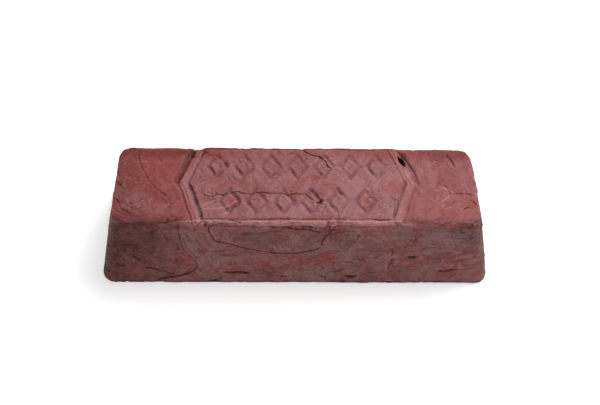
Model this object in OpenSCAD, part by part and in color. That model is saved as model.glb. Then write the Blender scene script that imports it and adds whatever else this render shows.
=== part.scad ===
// A bar of wax-bonded polishing compound, pressed in an open mould.
// It is one piece: a tapered ingot with a flat base, rounded corners and a shallow relief on top.
// Millimetres. The origin is the middle of the base, +X runs along the bar and +Z points up.

/* [Bar] */
// Length of the base, along X
base_l = 152; // [140:1:180]
// Width of the base, along Y
base_w = 51; // [46:1:64]
// Height of the top face above the base
bar_h = 32; // [22:1:40]
// How far each side leans inwards between the base and the top, the mould's draft
draft = 6.5; // [3:0.5:7]
// Radius of the four upright corners, seen from above
corner_r = 5.5; // [4:0.5:8]
// Rounding of the edge round the top face
top_edge_r = 0.9; // [0.5:0.1:2.5]
// Rounding of the edge round the base
base_edge_r = 1.25; // [0.75:0.25:2.5]

/* [Border] */
// Distance from the middle of the bar to the pointed tips of the six-sided ridge
ridge_tip_x = 44; // [42:0.5:52]
// How far each tip stands out beyond the ends of the ridge's long sides
ridge_point = 6.5; // [3:0.5:8]
// Width of the ridge
ridge_w = 2.6; // [1.5:0.1:3.5]
// Width of the channel outside the ridge
outer_channel_w = 2; // [0.8:0.1:2.9]
// Depth of the channel outside the ridge
outer_channel_d = 0.7; // [0.3:0.1:1.5]
// Width of the channel inside the ridge
inner_channel_w = 1.2; // [0.6:0.1:1.5]
// Depth of the channel inside the ridge
inner_channel_d = 0.5; // [0.3:0.1:1.5]

/* [Lozenges] */
// Number of lozenges in the back row; the front row has one fewer and is staggered
back_row_count = 7; // [4:1:7]
// Distance between the middles of neighbouring lozenges in a row
lozenge_pitch = 10.4; // [10.2:0.1:10.6]
// Width of a lozenge, along X
lozenge_w = 10; // [6:0.5:10]
// Length of a lozenge, along Y
lozenge_l = 15; // [9:0.5:15]
// Width of the sunken line that draws a lozenge
line_w = 2; // [0.8:0.1:2.2]
// Depth of the sunken line
line_d = 0.6; // [0.3:0.1:1.2]
// Distance of each row's middle from the middle of the bar
row_y = 8.6; // [8:0.1:9]

/* [Void] */
// Length of the void, a small hollow that the pressing left beside the ridge
void_l = 5.8; // [3:0.2:6.4]
// Width of the void
void_w = 2.4; // [1:0.1:2.8]
// Depth of the void
void_d = 2.4; // [1:0.2:4]
// Distance of the void's middle from the middle of the bar, along X
void_x = 41.5; // [40:0.1:43]
// Distance of the void's middle from the middle of the bar, along Y
void_y = 11.8; // [9:0.1:13]
// Angle by which the void's length leans away from the Y axis
void_angle = 24; // [10:1:35]

/* [Hidden] */

compound_red = [0.55, 0.3, 0.3];
corner_facets = 32;
oval_step = 15;
cut_clear = 1;

// The middles of the upright corners, at the base and at the top
base_corner_x = base_l / 2 - corner_r;
base_corner_y = base_w / 2 - corner_r;
top_corner_x = base_corner_x - draft;
top_corner_y = base_corner_y - draft;

// The ridge's long sides run along the edges of the top face
ridge_side_y = base_w / 2 - draft;
ridge_slope = ridge_point / ridge_side_y;

// A six-sided outline with two pointed ends, moved outwards from the ridge's middle line by grow
function ridge_outline(grow) = let(
        side_y = ridge_side_y + grow,
        tip_x = ridge_tip_x + grow * sqrt(1 + ridge_slope * ridge_slope),
        end_x = tip_x - ridge_slope * side_y
    ) [
        [tip_x, 0], [end_x, side_y], [-end_x, side_y],
        [-tip_x, 0], [-end_x, -side_y], [end_x, -side_y]
    ];

function lozenge_outline(width, length) = [
    [width / 2, 0], [0, length / 2], [-width / 2, 0], [0, -length / 2]
];

function oval_outline(width, length) = [
    for (turn = [0 : oval_step : 360 - oval_step]) [cos(turn) * width / 2, sin(turn) * length / 2]
];

// How much the line takes off a lozenge's half width, and off its half length
line_share = line_w / sin(atan(lozenge_l / lozenge_w));
line_length_share = line_share * lozenge_l / lozenge_w;

// A corner of the bar: a ring with a round edge
module corner_ring(edge_r) {
    rotate_extrude($fn = corner_facets)
        translate([corner_r - edge_r, 0])
            circle(edge_r, $fn = corner_facets);
}

// Four rings, one at each corner of a rectangle
module corner_rings(corner_x, corner_y, height, edge_r) {
    for (side_x = [-1, 1], side_y = [-1, 1])
        translate([side_x * corner_x, side_y * corner_y, height])
            corner_ring(edge_r);
}

module tapered_bar() {
    hull() {
        corner_rings(base_corner_x, base_corner_y, base_edge_r, base_edge_r);
        corner_rings(top_corner_x, top_corner_y, bar_h - top_edge_r, top_edge_r);
    }
}

// Sinks a flat shape into the top face
module sunk(depth) {
    translate([0, 0, bar_h - depth])
        linear_extrude(depth + cut_clear)
            children();
}

module channel(inner_grow, width, depth) {
    sunk(depth) difference() {
        polygon(ridge_outline(inner_grow + width));
        polygon(ridge_outline(inner_grow));
    }
}

module border_channels() {
    channel(ridge_w / 2, outer_channel_w, outer_channel_d);
    channel(-ridge_w / 2 - inner_channel_w, inner_channel_w, inner_channel_d);
}

module lozenge_line() {
    difference() {
        polygon(lozenge_outline(lozenge_w, lozenge_l));
        polygon(lozenge_outline(lozenge_w - 2 * line_share, lozenge_l - 2 * line_length_share));
    }
}

module lozenge_row(count, middle_y) {
    for (i = [0 : count - 1])
        translate([(i - (count - 1) / 2) * lozenge_pitch, middle_y])
            lozenge_line();
}

module lozenges() {
    sunk(line_d) lozenge_row(back_row_count, row_y);
    sunk(line_d) lozenge_row(back_row_count - 1, -row_y);
}

// The void lies beside the ridge's arm, at the right end of the back row
module pressing_void() {
    sunk(void_d)
        translate([void_x, void_y])
            rotate(void_angle)
                polygon(oval_outline(void_w, void_l));
}

module compound_bar() {
    color(compound_red) difference() {
        tapered_bar();
        border_channels();
        lozenges();
        pressing_void();
    }
}

compound_bar();
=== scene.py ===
"""The looks of a bar of wax-bonded polishing compound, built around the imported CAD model.

The bar is one pressed mass, so it is one piece: a dense skin over the tapered block, with the
relief, the cracks, the laps and the wear of the real thing as geometry, and a waxy red material.
Lengths here are in millimetres, in the frame of the CAD model; the mesh is written in metres.
"""
import math

import bpy
import numpy as np
from mathutils import Matrix, Vector

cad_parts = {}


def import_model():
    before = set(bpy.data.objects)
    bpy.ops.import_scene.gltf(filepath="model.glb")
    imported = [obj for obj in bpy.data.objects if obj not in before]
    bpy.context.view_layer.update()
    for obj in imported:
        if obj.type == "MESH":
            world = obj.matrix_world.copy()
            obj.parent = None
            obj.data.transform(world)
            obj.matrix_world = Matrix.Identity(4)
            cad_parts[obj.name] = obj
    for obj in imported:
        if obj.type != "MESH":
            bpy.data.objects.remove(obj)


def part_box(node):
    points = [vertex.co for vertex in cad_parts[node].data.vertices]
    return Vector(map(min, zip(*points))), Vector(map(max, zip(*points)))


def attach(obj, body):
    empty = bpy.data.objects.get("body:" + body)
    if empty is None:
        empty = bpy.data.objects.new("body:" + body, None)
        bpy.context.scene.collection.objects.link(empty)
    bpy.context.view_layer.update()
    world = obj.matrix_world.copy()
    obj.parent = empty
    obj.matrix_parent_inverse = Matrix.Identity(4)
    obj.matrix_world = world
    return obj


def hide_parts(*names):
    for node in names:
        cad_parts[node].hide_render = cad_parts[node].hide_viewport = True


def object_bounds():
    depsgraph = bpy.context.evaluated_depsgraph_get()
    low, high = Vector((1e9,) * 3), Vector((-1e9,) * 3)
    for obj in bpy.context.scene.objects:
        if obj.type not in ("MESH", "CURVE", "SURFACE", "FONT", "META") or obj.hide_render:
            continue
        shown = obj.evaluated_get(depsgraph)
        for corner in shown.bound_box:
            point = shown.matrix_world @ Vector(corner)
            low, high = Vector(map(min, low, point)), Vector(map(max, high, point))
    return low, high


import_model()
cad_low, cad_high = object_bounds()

MM = 0.001
NODE = "compound_bar"
PIECE = "bar_surface"

# ---- Sizes of the bar. The box comes from the CAD model, and the rest repeats its driving values.
box_low, box_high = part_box(NODE)
BASE_L, BASE_W, BAR_H = ((Vector(box_high) - Vector(box_low)) / MM)
DRAFT = 6.5
CORNER_R = 5.5
TOP_EDGE_R = 0.9
BASE_EDGE_R = 1.25
TOP_HALF_L = BASE_L / 2 - DRAFT
TOP_HALF_W = BASE_W / 2 - DRAFT
SLANT = math.hypot(1, DRAFT / BAR_H)

RIDGE_TIP_X = 44.0
RIDGE_POINT = 6.5
RIDGE_W = 2.6
RIDGE_SLOPE = RIDGE_POINT / TOP_HALF_W

LOZENGE_PITCH = 10.4
LOZENGE_W = 10.0
LOZENGE_L = 15.0
LOZENGE_LINE_W = 2.0
LOZENGE_DEPTH = 0.6
LOZENGE_ROWS = ((7, 8.6), (6, -8.6))

# ---- The mesh: the pitch of the lattice, and the triangles that are kept of it
GRID = 0.25
TRIANGLES = 196_000


# ---- Small tools
def smooth(low, high, value):
    """0 at low, 1 at high, and a soft ramp between them."""
    t = np.clip((value - low) / (high - low), 0, 1)
    return t * t * (3 - 2 * t)


NOISE_TABLE = 256
noise_rng = np.random.default_rng(7)
noise_order = noise_rng.permutation(NOISE_TABLE)
noise_order = np.concatenate([noise_order, noise_order])
noise_slopes = noise_rng.normal(size=(NOISE_TABLE, 3))
noise_slopes = (noise_slopes / np.linalg.norm(noise_slopes, axis=1)[:, None]).astype(np.float32)


def noise(points, size, seed=0):
    """Gradient noise of about -1 to 1, with lumps of about size."""
    p = (points / size + seed * 17.31).astype(np.float32)
    cell = np.floor(p).astype(np.int32)
    f = p - cell
    ease = f * f * f * (f * (f * 6 - 15) + 10)
    total = np.zeros(len(p), np.float32)
    for i in (0, 1):
        row = noise_order[(cell[:, 0] + i) % NOISE_TABLE]
        weight_x = ease[:, 0] if i else 1 - ease[:, 0]
        for j in (0, 1):
            column = noise_order[row + (cell[:, 1] + j) % NOISE_TABLE]
            weight_y = weight_x * (ease[:, 1] if j else 1 - ease[:, 1])
            for k in (0, 1):
                slope = noise_slopes[noise_order[column + (cell[:, 2] + k) % NOISE_TABLE]]
                gap = f - (i, j, k)
                height = slope[:, 0] * gap[:, 0] + slope[:, 1] * gap[:, 1] + slope[:, 2] * gap[:, 2]
                total += weight_y * (ease[:, 2] if k else 1 - ease[:, 2]) * height
    return 1.6 * total


def layered(points, size, octaves, seed=0):
    """Several sizes of noise, each half as large and half as strong as the one before."""
    return sum(noise(points, size / 2 ** i, seed + i) / 2 ** i for i in range(octaves))


# ---- The plain block: a lattice on the six faces of a box, bent to the tapered, rounded shape
def box_lattice(counts):
    """The lattice points on the six faces of a box of counts cells, and the quads between them."""
    quads = []
    for axis in range(3):
        u, v = (axis + 1) % 3, (axis + 2) % 3
        for side in (0, counts[axis]):
            i, j = np.meshgrid(np.arange(counts[u] + 1), np.arange(counts[v] + 1), indexing="ij")
            place = [None] * 3
            place[u], place[v], place[axis] = i, j, np.full(i.shape, side)
            key = np.ravel_multi_index(place, counts + 1)
            face = np.stack([key[:-1, :-1], key[1:, :-1], key[1:, 1:], key[:-1, 1:]], -1).reshape(-1, 4)
            quads.append(face if side else face[:, ::-1])
    quads = np.concatenate(quads)
    keys, index = np.unique(quads, return_inverse=True)
    return np.stack(np.unravel_index(keys, counts + 1), -1), index.reshape(-1, 4)


def square_to_disc(p, q):
    """Bends the square 0..1 by 0..1 to a quarter of a disc of radius 1."""
    return p * np.sqrt(1 - q * q / 2), q * np.sqrt(1 - p * p / 2)


def round_edge(flat, out, inset, z, face_z, radius):
    """Rounds the edge between the sides and the level face at face_z. Returns new flat and z."""
    rise = np.sign(face_z - BAR_H / 2)
    p = np.clip(1 - inset / radius, 0, 1)
    q = np.clip(1 - (face_z - z) * rise / radius, 0, 1)
    p_round, q_round = square_to_disc(p, q)
    new_z = z - rise * radius * (q - q_round)
    push = radius * (p_round - p) + (z - new_z) * DRAFT / BAR_H
    touched = (p > 0) & (q > 0)
    return np.where(touched[:, None], flat + out * push[:, None], flat), np.where(touched, new_z, z)


def plain_block():
    """Points and quads of the block, with its sides' and top's chart places before edge rounding."""
    size = np.array([BASE_L, BASE_W, BAR_H])
    counts = np.maximum(np.round(size / GRID).astype(int), 1)
    lattice, quads = box_lattice(counts)
    unit = lattice / counts
    z = unit[:, 2] * BAR_H
    lean = DRAFT * z / BAR_H
    half = np.stack([BASE_L / 2 - lean, BASE_W / 2 - lean], 1)
    flat = (unit[:, :2] * 2 - 1) * half

    side = np.where(flat < 0, -1.0, 1.0)
    beyond = np.abs(flat) - (half - CORNER_R)
    in_corner = (beyond > 0).all(axis=1)
    p, q = square_to_disc(*(np.clip(beyond, 0, CORNER_R) / CORNER_R).T)
    arm = np.stack([p, q], 1)
    flat = np.where(in_corner[:, None], side * (half - CORNER_R + arm * CORNER_R), flat)

    reach = np.linalg.norm(arm, axis=1)
    gap = half - np.abs(flat)
    across = gap.argmin(axis=1)
    straight_out = side * np.eye(2)[across]
    corner_out = side * arm / np.maximum(reach, 1e-9)[:, None]
    out = np.where(in_corner[:, None], corner_out, straight_out)
    inset = np.where(in_corner, CORNER_R * (1 - reach), gap.min(axis=1))

    on_top = lattice[:, 2] == counts[2]
    drop = np.where(on_top, 0, (BAR_H - z) * SLANT)
    charts = {
        "long": np.stack([flat[:, 0], np.where(on_top, flat[:, 1], side[:, 1] * (TOP_HALF_W + drop))], 1),
        "cross": np.stack([np.where(on_top, flat[:, 0], side[:, 0] * (TOP_HALF_L + drop)), flat[:, 1]], 1),
        "base": flat.copy(),
    }
    flat, z = round_edge(flat, out, inset, z, BAR_H, TOP_EDGE_R)
    flat, z = round_edge(flat, out, inset, z, 0.0, BASE_EDGE_R)
    return np.column_stack([flat, z]), quads, charts, on_top


def point_normals(points, quads):
    a, b, c, d = (points[quads[:, i]] for i in range(4))
    face = np.cross(c - a, d - b)
    total = np.zeros_like(points)
    for i in range(4):
        np.add.at(total, quads[:, i], face)
    return total / np.linalg.norm(total, axis=1)[:, None]


# ---- The skin: what is pushed in or out of the plain block, and the masks that the material reads
ALL = slice(None)


class Skin:
    """lift is the push along each point's normal, in mm. The masks run from 0 to 1.

    Marks are laid on three charts: "long" unrolls the back, the top and the front side, "cross"
    unrolls the left end, the top and the right end, and "base" is the base. A chart's weight is 1
    where it shows the skin well and falls to 0 where another chart takes over.
    """

    # Masks for cracks, sunk places and shade are painted shade; wear is rubbed wear and painted highlights
    MASKS = ("crack", "recess_shade", "film", "warm", "shade", "wear")

    def __init__(self):
        self.points, self.quads, self.charts, self.on_top = plain_block()
        self.normals = point_normals(self.points, self.quads)
        self.lift = np.zeros(len(self.points))
        self.mask = {name: np.zeros(len(self.points)) for name in self.MASKS}
        turned = np.abs(self.normals)
        not_below = smooth(-0.6, -0.3, self.normals[:, 2])
        self.weight = {
            "long": (1 - smooth(0.6, 0.8, turned[:, 0])) * not_below,
            "cross": (1 - smooth(0.6, 0.8, turned[:, 1])) * not_below,
            "base": smooth(0.5, 0.9, -self.normals[:, 2]),
        }

    def window(self, chart, low, high):
        """The points that a chart shows between two of its corners."""
        u, v = self.charts[chart].T
        inside = (u > low[0]) & (u < high[0]) & (v > low[1]) & (v < high[1])
        return np.flatnonzero(inside & (self.weight[chart] > 0))

    def raise_mask(self, name, near, amount):
        self.mask[name][near] = np.maximum(self.mask[name][near], amount)


# ---- Sides. Each is the name of its chart, and what turns a place on the side into a place on the chart.
# Places on the four leaning sides are given by their height.
def as_given(x, y):
    return x, y


def slope(half, z):
    """How far from the middle of a chart height z lies, on a side that starts at half."""
    return half + (BAR_H - z) * SLANT


long, cross, base = ("long", as_given), ("cross", as_given), ("base", as_given)
front = "long", lambda x, z: (x, -slope(TOP_HALF_W, z))
back = "long", lambda x, z: (x, slope(TOP_HALF_W, z))
left_end = "cross", lambda y, z: (-slope(TOP_HALF_L, z), y)
right_end = "cross", lambda y, z: (slope(TOP_HALF_L, z), y)


# ---- Kinds of mark
PATH_STEP = 0.12
NEAREST_BATCH = 4096
path_rng = np.random.default_rng(11)


def fine_path(corners, wobble):
    """A smooth curve through the corners, with a little of the raggedness that a real crack has."""
    c = np.array(corners, float)
    c = np.vstack([2 * c[0] - c[1], c, 2 * c[-1] - c[-2]])
    pieces = []
    for a, b, d, e in zip(c, c[1:], c[2:], c[3:]):
        t = np.linspace(0, 1, max(2, int(np.linalg.norm(d - b) / PATH_STEP)), endpoint=False)[:, None]
        pieces.append(0.5 * (2 * b + (d - a) * t + (2 * a - 5 * b + 4 * d - e) * t ** 2
                             + (3 * b - a - 3 * d + e) * t ** 3))
    path = np.vstack(pieces + [c[-2:-1]])
    along = np.concatenate([[0], np.cumsum(np.linalg.norm(np.diff(path, axis=0), axis=1))])
    heading = np.gradient(path, axis=0)
    heading /= np.maximum(np.linalg.norm(heading, axis=1), 1e-9)[:, None]
    sideways = np.stack([-heading[:, 1], heading[:, 0]], 1)
    track = np.column_stack([along, np.full(len(along), path_rng.uniform(0, 90)), np.zeros(len(along))])
    shift = wobble * (noise(track, 2.3) + 0.5 * noise(track, 0.8, seed=3))
    return path + sideways * shift[:, None], sideways, along, track


def nearest_on_path(places, path):
    """The distance from each place to the path, and the index of the path's nearest point."""
    distance, index = np.empty(len(places)), np.empty(len(places), int)
    for start in range(0, len(places), NEAREST_BATCH):
        part = slice(start, start + NEAREST_BATCH)
        gaps = ((places[part, None] - path) ** 2).sum(axis=2)
        index[part], distance[part] = gaps.argmin(axis=1), np.sqrt(gaps.min(axis=1))
    return distance, index


def near_path(skin, chart, corners, wobble, reach, taper):
    """A fine path, and the points within reach of it: their distance, their place on it and their weight.

    The path comes with a number that is 1 along it and fades to 0 at its ends, over taper.
    """
    path, sideways, along, track = fine_path(corners, wobble)
    near = skin.window(chart, path.min(axis=0) - reach, path.max(axis=0) + reach)
    distance, index = nearest_on_path(skin.charts[chart][near], path)
    keep = distance < reach
    near, distance, index = near[keep], distance[keep], index[keep]
    ends = smooth(0, taper, along) * smooth(0, taper, along[-1] - along)
    return (path, sideways, track, ends), (near, distance, index, skin.weight[chart][near])


def crack(skin, chart, corners, half_width=0.3, depth=0.5, lip=0.0, dark=0.85, wobble=0.16, taper=2.5,
          even=0.0, lip_reach=2.5):
    """Cuts a ragged crack. With a lip, the surface to the left of its path stands that much higher.

    The ends fade out over taper. At even 1 the crack is steady, and below 0 it breaks up.
    """
    reach = max(half_width * 3, lip_reach * 3 if lip else 0)
    (path, sideways, track, ends), (near, distance, index, weight) = near_path(
        skin, chart, corners, wobble, reach, taper)
    uneven = (1 - even) * (0.45 * noise(track, 3.1, seed=5) + 0.25 * noise(track, 0.9, seed=6))
    strength = (ends * np.clip(0.9 + uneven, 0.25 if even >= 0 else 0.0, 1.1))[index] * weight
    width = half_width * (0.55 + 0.45 * ends[index]) * (1 + 0.35 * noise(track, 1.7, seed=8)[index])
    skin.lift[near] -= depth * strength * (1 - smooth(0.0, 1.0, distance / width))
    line = 1 - smooth(0.1, 0.95, distance / width)
    # Painted shade along the crack
    skin.raise_mask("crack", near, dark * np.clip(1.15 * strength, 0, 1) * line)
    if lip:
        leaning = ((skin.charts[chart][near] - path[index]) * sideways[index]).sum(axis=1)
        step = smooth(-0.1, 0.1, leaning) * np.exp(-distance / lip_reach)
        skin.lift[near] += lip * strength * step


def lay_cracks(skin, table):
    for (chart, place), *rows in table:
        for look, *runs in rows:
            for run in runs:
                crack(skin, chart, [place(*corner) for corner in run], *look)


def flow_lines(skin, side, x, y, stretch, *lines):
    """Parts of ovals round one place, each given by its radius and its ends in degrees."""
    chart, place = side
    middle_u, middle_v = place(x, y)
    for radius, start, stop in lines:
        turns = np.radians(np.linspace(start, stop, max(4, int(abs(stop - start) / 20))))
        path = [(middle_u + radius * stretch * math.cos(a), middle_v + radius * math.sin(a)) for a in turns]
        crack(skin, chart, path, 0.3, 0.12, 0.096, 0.3, wobble=0.25, taper=3, lip_reach=1.2)


def hairlines(skin, chart, count, low, high, angle, spread, seed, strength):
    """Fine short cracks and laps, scattered over a part of a chart and mostly along one angle."""
    rng = np.random.default_rng(seed)
    for _ in range(count):
        place = rng.uniform(low, high)
        heading = math.radians(rng.normal(angle, spread))
        bend = rng.normal(0, 0.09)
        stride = rng.uniform(0.8, 3.2)
        corners = [place]
        for _ in range(4):
            heading += bend * stride
            corners.append(corners[-1] + stride * np.array([math.cos(heading), math.sin(heading)]))
        depth = strength * rng.uniform(0.08, 0.26)
        lip = depth * rng.choice((-0.8, 0.0, 0.9))
        dark = strength * rng.uniform(0.05, 0.55)
        crack(skin, chart, corners, rng.uniform(0.2, 0.3), depth, lip, dark, 0.14, 2.0, lip_reach=1.1)


def scratch(skin, chart, corners, depth=0.07, bright=0.6):
    """A fine pale line where something rubbed along the surface."""
    (*_, ends), (near, distance, index, weight) = near_path(skin, chart, corners, 0.1, 1, 1.5)
    line = (1 - smooth(0.1, 0.45, distance)) * ends[index] * weight
    skin.lift[near] -= depth * line
    skin.mask["wear"][near] += bright * line


def oval(skin, side, x, y, radii, limit, angle=0.0):
    """The points round a place on a side, how far they lie from it in radii, and their chart's weight.

    The angle is in degrees. Points beyond limit radii are left out.
    """
    chart, place = side
    turn = math.radians(angle)
    gap = skin.charts[chart] - place(x, y)
    u = gap[:, 0] * math.cos(turn) + gap[:, 1] * math.sin(turn)
    v = gap[:, 1] * math.cos(turn) - gap[:, 0] * math.sin(turn)
    reach = np.hypot(u / radii[0], v / radii[1])
    near = np.flatnonzero((reach < limit) & (skin.weight[chart] > 0))
    return near, reach[near], skin.weight[chart][near]


def blotch(skin, mask, seed, side, x, y, radius_u, radius_v, amount, angle=0.0):
    """Adds an oval patch with a ragged rim to a mask."""
    near, reach, weight = oval(skin, side, x, y, (radius_u, radius_v), 2, angle)
    ragged = reach + 0.25 * layered(skin.points[near], 5.0, 3, seed=20 + seed)
    skin.mask[mask][near] += amount * weight * (1 - smooth(0.4, 1.3, ragged))


def rough_patch(skin, side, x, y, radius_u, radius_v, height, seed):
    """A torn, crumbly patch."""
    near, reach, weight = oval(skin, side, x, y, (radius_u, radius_v), 1.3)
    crumbs = layered(skin.points[near], 1.6, 3, seed=130 + seed)
    fade = (1 - smooth(0.5, 1.2, reach)) * weight
    skin.lift[near] += height * fade * crumbs
    # Painted shade in the hollows among the crumbs
    skin.raise_mask("crack", near, 0.6 * fade * smooth(0.15, 0.7, -crumbs))
    skin.mask["warm"][near] += 0.6 * fade * smooth(-0.1, 0.5, crumbs)


def pit(skin, side, x, y, radii, angle, depth):
    """A deep hollow with an oval mouth, painted dark inside as shade."""
    near, reach, _ = oval(skin, side, x, y, radii, 1.6, angle)
    ragged = reach + 0.15 * noise(skin.points[near], 1.2, seed=50)
    skin.lift[near] -= depth * (1 - smooth(0.45, 1.05, ragged))
    skin.raise_mask("crack", near, 1 - smooth(0.6, 1.05, ragged))


def raised_patch(skin, side, outline, height, fade):
    """Raises the inside of an outline, steeply at its rim and less towards its middle."""
    chart, place = side
    outline = np.array([place(*corner) for corner in outline], float)
    edges = list(zip(outline, np.roll(outline, -1, axis=0)))
    near = skin.window(chart, outline.min(axis=0), outline.max(axis=0))
    x, y = skin.charts[chart][near].T
    inside = np.zeros(len(near), bool)
    for (ax, ay), (bx, by) in edges:
        crosses = (ay > y) != (by > y)
        inside ^= crosses & (x < ax + (y - ay) * (bx - ax) / (by - ay if by != ay else 1e-9))
    near = near[inside]
    path = np.vstack([np.linspace(a, b, 60, endpoint=False) for a, b in edges])
    distance, _ = nearest_on_path(skin.charts[chart][near], path)
    rim = smooth(0, 0.5, distance)
    skin.lift[near] += height * skin.weight[chart][near] * rim * (0.35 + 0.65 * np.exp(-distance / fade))


def dent(skin, centre, radii, depth, dark, seed):
    """Pushes the surface in round a place in space, or out where depth is negative."""
    gap = (skin.points - centre) / radii
    near = np.flatnonzero(np.abs(gap).max(axis=1) < 1.6)
    reach = np.linalg.norm(gap[near], axis=1) + 0.3 * layered(skin.points[near], 1.8, 3, seed=110 + seed)
    hollow = 1 - smooth(0.25, 1.1, reach)
    skin.lift[near] -= depth * hollow
    # Painted shade in the dent
    skin.raise_mask("crack", near, dark * hollow)


# ---- The relief on top
def ridge_distance(places):
    """How far places on top lie outside the ridge's middle line. Inside it, the number is negative."""
    x, y = np.abs(places).T
    arm = (x + RIDGE_SLOPE * y - RIDGE_TIP_X) / math.hypot(1, RIDGE_SLOPE)
    return arm, y - TOP_HALF_W


def trough(distance, middle, half_width, wall):
    """1 on the floor of a channel and 0 outside it. wall is the share of half_width that slopes."""
    return 1 - smooth(1 - wall, 1 + wall * 0.35, np.abs(distance - middle) / half_width)


def border(skin):
    """The six-sided ridge between its two channels, worn unevenly.

    The outer channel is deep behind and shallow in front, and the inner one the other way round.
    Each depth has one value to the right of the middle of the bar and one to the left.
    """
    near = np.flatnonzero(skin.on_top | ((skin.weight["long"] > 0) & (skin.points[:, 2] > BAR_H - 3)))
    places, points = skin.charts["long"][near], skin.points[near]
    bend = 0.28 * noise(points, 6.0, seed=33) + 0.12 * noise(points, 2.0, seed=34)
    arm, side = ridge_distance(places)
    arm, side = arm + bend, side + bend
    distance = np.maximum(arm, side)
    wear = layered(points, 7.0, 3, seed=31)
    worn = smooth(-0.6, 0.4, wear)
    right, rear = places[:, 0] > 0, smooth(-3.0, 2.5, places[:, 1])
    on_arm = smooth(-0.5, 0.5, arm - side)

    short = 1 - right * smooth(14.5, 17.0, places[:, 1])
    outer_half = np.where(right, 0.6 + 0.75 * rear, 0.5 + 0.95 * rear)
    outer_deep = short * on_arm * np.where(right, 0.32 + 0.33 * rear, 0.25 + 0.75 * rear) * (1 + 0.3 * wear)
    outer = trough(arm, RIDGE_W / 2 + outer_half, outer_half, wall=0.8)
    inner_half = np.where(right, 0.8 - 0.35 * rear, 0.9 - 0.45 * rear) * (0.5 + 0.5 * on_arm)
    inner_deep = on_arm * np.where(right, 0.5 - 0.28 * rear, 0.75 - 0.28 * rear) + (1 - on_arm) * 0.22
    inner_deep *= np.clip(1 + 0.6 * wear, 0.4, 1.6)
    inner = trough(distance, -RIDGE_W / 2 - inner_half, inner_half, wall=0.8)
    crown = trough(arm, 0, RIDGE_W / 2, wall=0.9) * on_arm
    groove = trough(arm, 0.3 - 0.5 * rear, 0.3, wall=0.9) * on_arm * np.clip(0.8 + wear, 0.2, 1.2)
    skin.lift[near] += 0.18 * crown - 0.16 * groove - outer_deep * outer - inner_deep * inner

    # Painted shade on the floors of the channels and the groove, darkest where they are deepest
    recess_shading = outer * outer_deep + inner * inner_deep * 1.4 + 0.6 * groove
    skin.raise_mask("recess_shade", near, np.clip(recess_shading, 0, 1))
    # The ridge's crown is paler: rubbed wear and a painted highlight
    skin.mask["wear"][near] += crown * np.clip(0.3 + 0.4 * wear, 0, 0.8)
    skin.mask["film"][near] += 0.62 * smooth(0.5, -1.5, distance)
    # Painted shade in the left rear channel, which is also redder, and in the worn inner channel
    left_rear = outer * rear * on_arm * ~right
    skin.raise_mask("crack", near, 0.46 * left_rear * smooth(-0.9, 0.4, wear))
    skin.mask["warm"][near] += left_rear
    skin.raise_mask("shade", near, 0.22 * inner * (1 - rear) * on_arm * worn)
    skin.mask["film"][near] += 0.7 * inner * (1 - rear) * on_arm
    skin.mask["film"][near] += outer * rear * right * short


def lozenges(skin):
    """Two staggered rows of sunken lozenge outlines, pressed unevenly and partly smeared over."""
    near = np.flatnonzero(skin.on_top)
    places, points = skin.charts["long"][near], skin.points[near]
    drift = 0.34 * np.stack([layered(points, 4.5, 3, seed=41), layered(points, 4.5, 3, seed=44)], 1)
    wear = layered(points, 7.0, 3, seed=47)
    half = np.array([LOZENGE_W, LOZENGE_L]) / 2
    across = half[0] * half[1] / math.hypot(*half)
    for count, row_y in LOZENGE_ROWS:
        for i in range(count):
            middle = np.array([(i - (count - 1) / 2) * LOZENGE_PITCH, row_y])
            gap = places + drift - middle
            inside = (1 - (np.sqrt(gap ** 2 + 0.16) / half).sum(axis=1)) * across
            line = trough(inside, LOZENGE_LINE_W / 2, LOZENGE_LINE_W / 2, wall=0.9)
            deep = np.clip(0.75 + 0.65 * wear, 0.12, 1.25)
            island = smooth(LOZENGE_LINE_W, LOZENGE_LINE_W + 1.2, inside)
            skin.lift[near] -= LOZENGE_DEPTH * deep * line + 0.15 * island
            # Painted shade in the sunken strokes
            skin.raise_mask("recess_shade", near, np.clip(0.95 * deep, 0, 1) * line)
            skin.mask["warm"][near] += 0.35 * island * smooth(-0.2, 0.5, wear)


# ---- Marks. First the outlines of the lens-shaped lap in front and of the flap behind.
LENS_LAP = ((-33.2, 30.5), (-33.1, 27.3), (-32.3, 25.2), (-31, 22.9), (-27, 22), (-22.7, 20.4),
    (-18.7, 19.2), (-15, 18.2), (-11, 17.4), (-7, 16.8), (-2.7, 16.7), (0.7, 17), (4, 17.7), (7.3, 18.6),
    (9.7, 20.1), (9.6, 22), (10.1, 24), (11, 25.6), (12, 27.2), (12.3, 30))
FLAP = ((6, 31), (16, 31.4), (27, 31), (36, 29), (38.6, 24), (35, 20.4), (27, 19), (20.6, 14.6), (12, 13),
    (7.6, 17.4), (8, 24))


def twins(corners, gap_x, gap_y):
    """The corners of one crack, and of a like one beside it."""
    return corners, tuple((x + gap_x, y + gap_y) for x, y in corners)


# Flow streaks in front on the right, which rise faster towards their right ends
STREAKS = [((x, z), (x + run * 0.4, z + rise * 0.25), (x + run, z + rise)) for x, z, run, rise in (
    (45, 14.5, 12, 4.4), (49, 12.6, 14, 5.2), (52, 11.6, 15, 7), (43.5, 17.4, 8, 4.5), (50, 15.4, 9, 1))]
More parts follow.
